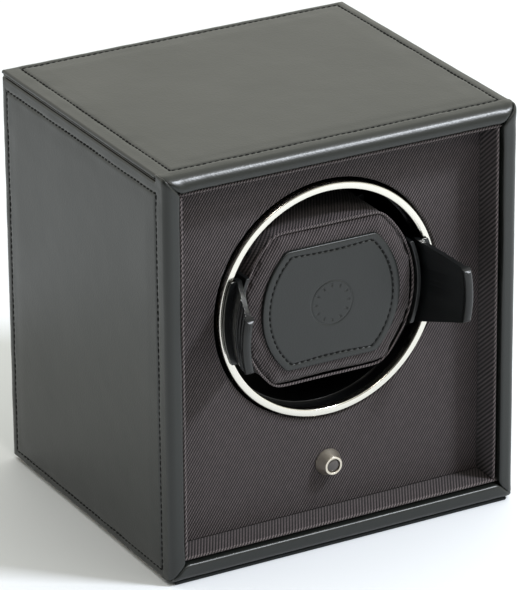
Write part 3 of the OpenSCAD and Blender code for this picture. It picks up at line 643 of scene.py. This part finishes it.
# %% Back seam
bm = bmesh.new()
back_low, back_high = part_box("leather_back")
inset = 3.7 * MM
stitched_rectangle(bm, (-HALF_W + inset, HALF_W - inset, back_low.z - MIDDLE + inset,
                        back_high.z - MIDDLE - inset), BACK)
bmesh.ops.transform(bm, matrix=Matrix.Translation((0, 0, MIDDLE)) @ Matrix.Rotation(-QUARTER, 4, "X"),
                    verts=bm.verts)
finish_piece(bm, "back_stitches", thread_finish, "box")

# %% [markdown]
# ## Trim ring
# The bright ring is turned from tube: a flat face with a small radius on both of its edges. A
# square section is spun round the drum's axis and its four edges are rounded.

# %% Trim ring
ring_low, ring_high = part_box("drum_ring")
DRUM_Z = (ring_low.z + ring_high.z) / 2
RING_R = ring_high.x
RING_WIDTH = 2.9 * MM
section = [(RING_R - RING_WIDTH, ring_low.y), (RING_R, ring_low.y), (RING_R, ring_high.y),
           (RING_R - RING_WIDTH, ring_high.y)]
bm = spun(section, (0, DRUM_Z), 180)
soften(bm, [e for e in bm.edges if e.calc_face_angle(0) > 1], 0.6 * MM, 4)
finish_piece(bm, "trim_ring", finishes["chrome"], "drum", ["drum_ring"])

# %% [markdown]
# ## Push button
# The cap is a short lens-like dome on a round stem. An arc and the stem's outline are spun round
# the button's axis.

# %% Push button
cap_low, cap_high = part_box("button_cap")
button_x, button_z = (cap_low.x + cap_high.x) / 2, (cap_low.z + cap_high.z) / 2
cap_r, dome = (cap_high.x - cap_low.x) / 2, 0.75 * MM
arc = [(cap_r * math.sin(k * QUARTER / 8), cap_low.y + dome * (1 - math.cos(k * QUARTER / 8)))
       for k in range(9)]
bm = spun(arc + [(cap_r, cap_high.y), (0, cap_high.y)], (button_x, button_z), 48, closed=False)
finish_piece(bm, "button_dome", finishes["button_plastic"], "button", ["button_cap"])

# %% [markdown]
# ## Cuff cushion
# The cuff that carries the watch is a foam block sewn into twill. Its outline is two shallow arcs
# with a flat top and bottom. The block starts a little small and is remeshed into an even net.

# %% Outline of the cuff
CUFF_R = 40.2 * MM
CUFF_SHIFT = 3.6 * MM
ARC_STEPS = 192
cuff_low, cuff_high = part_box("cuff_cushion")


def barrel(bm, radius, half_height, front, back):
    """A block whose sides are two arcs about +-CUFF_SHIFT, cut flat above and below."""
    turn = Matrix.Translation((CUFF_SHIFT, front, DRUM_Z)) @ Matrix.Rotation(QUARTER, 4, "X")
    bmesh.ops.create_circle(bm, cap_ends=True, segments=ARC_STEPS, radius=radius, matrix=turn)
    knife(bm, [0], (1, 0, 0), clear=True)
    knife(bm, [DRUM_Z + half_height], (0, 0, 1), clear=True)
    knife(bm, [half_height - DRUM_Z], (0, 0, -1), clear=True)
    bmesh.ops.mirror(bm, geom=bm.verts[:] + bm.edges[:] + bm.faces[:], axis="X", merge_dist=1e-6)
    grown = bmesh.ops.extrude_face_region(bm, geom=bm.faces[:])["geom"]
    bmesh.ops.translate(bm, verts=[g for g in grown if isinstance(g, bmesh.types.BMVert)],
                        vec=(0, back - front, 0))
    bmesh.ops.recalc_face_normals(bm, faces=bm.faces)
    bmesh.ops.dissolve_limit(bm, angle_limit=0.001, verts=bm.verts, edges=bm.edges)


CORNER_R = 8 * MM


def cuff_edge(angle, radius, half_height, blend):
    """How far a cuff-shaped outline is from its middle: the nearer of side arc and flat, blended."""
    c, s = abs(math.cos(angle)), abs(math.sin(angle))
    arc = math.sqrt(radius ** 2 - (CUFF_SHIFT * s) ** 2) - CUFF_SHIFT * c
    flat = half_height / max(s, 1e-6)
    return min(arc, flat) - blend * math.log1p(math.exp(-abs(arc - flat) / blend))


INSET = 0.7 * MM
bm = bmesh.new()
barrel(bm, CUFF_R - INSET, (cuff_high.z - cuff_low.z) / 2 - INSET, cuff_low.y + INSET, cuff_high.y)
soften(bm, [e for e in bm.edges if e.calc_face_angle(0) > 0.5
            and abs(e.verts[0].co.y - e.verts[1].co.y) > 1 * MM], CORNER_R, 6)
soften(bm, [e for e in bm.edges if e.calc_face_angle(0) > 0.7], 1.2 * MM, 2)
block = bpy.data.meshes.new("cushion_block")
bm.to_mesh(block)
bm.free()
cushion = bpy.data.objects.new("cushion", block)
bpy.context.scene.collection.objects.link(cushion)
remesh = cushion.modifiers.new("even net", "REMESH")
remesh.mode, remesh.voxel_size = "VOXEL", 1.8 * MM


# %% [markdown]
# A short cloth simulation with pressure inside blows the block up, so that its faces swell as
# stuffed cloth does. No point may move further than the block was made too small, which holds it
# within the cuff's outline.

# %% Blow it up
SWELL_STEPS = 20


def take_modifiers(made):
    """Replaces an object's mesh by what its modifiers make of it."""
    bpy.context.view_layer.update()
    shape = bpy.data.meshes.new_from_object(made.evaluated_get(bpy.context.evaluated_depsgraph_get()))
    made.modifiers.clear()
    made.data = shape


take_modifiers(cushion)
start = [v.co.copy() for v in cushion.data.vertices]
cloth = cushion.modifiers.new("cloth", "CLOTH")
cloth.settings.use_pressure = True
cloth.settings.uniform_pressure_force = 4
cloth.settings.effector_weights.gravity = 0
cloth.point_cache.frame_start, cloth.point_cache.frame_end = 1, SWELL_STEPS
for step in range(1, SWELL_STEPS + 1):
    bpy.context.scene.frame_set(step)
take_modifiers(cushion)
bpy.context.scene.frame_set(1)
swollen = 0
for v, before in zip(cushion.data.vertices, start):
    move = v.co - before
    move *= min(1, INSET / max(move.length, 1e-9))
    v.co = before + move
    swollen = max(swollen, move.length)
print("cushion net", len(start), "points, moved up to", round(swollen / MM, 2), "mm")

# %% [markdown]
# A sewn seam runs round the block just behind its front edge, where the cloth is pulled in. The
# seam is cut into the swollen shape with planes, and slow noise wrinkles the cloth near it.

# %% Seam of the cushion
subdivided = cushion.modifiers.new("finer", "SUBSURF")
subdivided.levels = subdivided.render_levels = 1
take_modifiers(cushion)
SEAM_Y = cuff_low.y + 1.7 * MM
bm = bmesh.new()
bm.from_mesh(cushion.data)
bpy.data.objects.remove(cushion)
knife(bm, [SEAM_Y + d * MM for d in (-1.1, -0.8, -0.5, -0.2, 0.1, 0.4, 0.7, 1.1)], (0, 1, 0))
bm.normal_update()
moves = []
for v in bm.verts:
    behind = v.co.y - SEAM_Y
    outward = Vector((v.normal.x, 0, v.normal.z)).normalized()
    wrinkle = noise.noise(v.co / (6 * MM)) + 0.5 * noise.noise(v.co / (2.6 * MM))
    rise = 0.22 * wrinkle * bell(behind, 5 * MM) + 0.08 * wrinkle - 0.4 * bell(behind, 0.6 * MM)
    moves.append((v, (outward if abs(v.normal.y) < 0.9 else v.normal) * rise * MM))
for v, move in moves:
    v.co += move
    v.co.y = max(v.co.y, cuff_low.y)
cushion = finish_piece(bm, "cushion", finishes["twill"], "cuff", ["cuff_cushion"], crisp=80)

# %% [markdown]
# A thin cord covered in the same cloth is sewn into the seam: a closed curve with a round section,
# turned into a mesh. It lies a little inside the cuff's outline. The cord takes the paler twill, a
# painted highlight along its rounded back.

# %% Piping cord
CORD_R = 0.45 * MM
CORD_BLEND = 1 * MM
CORD_IN = 0.3 * MM
TURN_STEPS = 288
half_height = (cuff_high.z - cuff_low.z) / 2
path = bpy.data.curves.new("piping_path", "CURVE")
path.dimensions = "3D"
path.bevel_depth, path.bevel_resolution = CORD_R, 3
spline = path.splines.new("POLY")
spline.use_cyclic_u = True
spline.points.add(TURN_STEPS - 1)
for k, point in enumerate(spline.points):
    angle = 2 * math.pi * k / TURN_STEPS
    reach = cuff_edge(angle, CUFF_R, half_height, CORD_BLEND) - CORD_R - CORD_IN
    point.co = (math.cos(angle) * reach, SEAM_Y, DRUM_Z + math.sin(angle) * reach, 1)
drawn = bpy.data.objects.new("piping_path", path)
bpy.context.scene.collection.objects.link(drawn)
bpy.context.view_layer.update()
bm = bmesh.new()
evaluated = drawn.evaluated_get(bpy.context.evaluated_depsgraph_get())
bm.from_mesh(bpy.data.meshes.new_from_object(evaluated))
bpy.data.objects.remove(drawn)
bmesh.ops.recalc_face_normals(bm, faces=bm.faces)
# the paler twill paints a highlight along the cord
finish_piece(bm, "cushion_piping", painted_highlight_twill, "cuff")

# %% [markdown]
# ## Leather patch
# A leather patch is sewn on the cushion's face. It is a polar net: rings of edges from the outline
# inwards, so that its seam groove follows the outline. The rings turn into circles at the middle,
# where a plain dial with twelve ticks is pressed in.

# %% Patch net
patch_low, patch_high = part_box("cuff_patch")
PATCH_R = patch_high.x + CUFF_SHIFT
PATCH_HALF_H = (patch_high.z - patch_low.z) / 2
PATCH_T = patch_high.y - patch_low.y
SEAM_IN = 3 * MM
FAN_IN = 5.2 * MM
DISC_R = 9.2 * MM
TICK_ANGLE = math.pi / 6


def patch_point(angle, inward, middle):
    """A point this far in from the outline, turning into a circle near the middle."""
    away = cuff_edge(angle, PATCH_R, PATCH_HALF_H, 0.35 * MM) - inward
    share = smooth_step(middle, 0, 1)
    reach = away * (1 - share) + DISC_R * share
    return Vector((math.cos(angle) * reach, 0, math.sin(angle) * reach))


bm = bmesh.new()
bmesh.ops.create_circle(bm, segments=TURN_STEPS, radius=1, matrix=Matrix.Rotation(QUARTER, 4, "X"))
outer = [0, 0.1, 0.3, 0.6, 1.0, 1.6, 2.1, 2.4, 2.6, 2.8, 3.0, 3.2, 3.4, 3.6, 3.9, 4.4]
rings = [(d * MM, 0, 1) for d in outer] + [(FAN_IN, t / 5, 1) for t in range(6)]
dial = [0.98, 0.955, 0.935, 0.915, 0.89, 0.86, 0.82, 0.8, 0.7, 0.68, 0.6, 0.4, 0.2]
rings += [(FAN_IN, 1, scale) for scale in dial]
loop = bm.edges[:]
levels = {v: 0 for v in bm.verts}
for number in range(1, len(rings)):
    grown = bmesh.ops.extrude_edge_only(bm, edges=loop)["geom"]
    loop = [g for g in grown if isinstance(g, bmesh.types.BMEdge)
            and all(v in set(grown) for v in g.verts) and len(g.link_faces) == 1]
    levels.update({g: number for g in grown if isinstance(g, bmesh.types.BMVert)})
bmesh.ops.contextual_create(bm, geom=loop)
for v, number in levels.items():
    inward, middle, scale = rings[number]
    angle = math.atan2(v.co.z, v.co.x)
    spot = patch_point(angle, inward, middle) * scale
    height = PATCH_T - round_over(inward, 0.6 * MM) - 0.3 * MM * bell(inward - SEAM_IN, 0.35 * MM)
    height += 0.1 * MM * bell(inward - 1.6 * MM, 0.8 * MM)
    radius = spot.length
    if middle == 1:
        tick = abs((angle / TICK_ANGLE + 0.5) % 1 - 0.5) * TICK_ANGLE * radius < 0.35 * MM
        in_tick = 0.69 * DISC_R < radius < 0.81 * DISC_R
        height -= 0.22 * MM * (bell(radius - 0.935 * DISC_R, 0.28 * MM) + (tick and in_tick))
    height += 0.07 * MM * noise.noise(spot / (9 * MM))
    v.co = spot + Vector((0, patch_high.y - height, DRUM_Z))
rim = [e for e in bm.edges if len(e.link_faces) == 1]
wall = bmesh.ops.extrude_edge_only(bm, edges=rim)["geom"]
for v in [g for g in wall if isinstance(g, bmesh.types.BMVert)]:
    v.co.y = patch_high.y + 0.3 * MM
bmesh.ops.recalc_face_normals(bm, faces=bm.faces)
finish_piece(bm, "patch", patch_leather, "cuff", ["cuff_patch"], crisp=60)

# %% [markdown]
# The patch is sewn on along its groove, with the same stitch as the covers.

# %% Patch stitches
bm = bmesh.new()
turns = [2 * math.pi * k / TURN_STEPS for k in range(TURN_STEPS + 1)]
seam_level = Vector((0, patch_low.y + 0.22 * MM, DRUM_Z))
stitches_along(bm, [patch_point(a, SEAM_IN, 0) + seam_level for a in turns], Vector((0, -1, 0)))
finish_piece(bm, "patch_stitches", thread_finish, "cuff")
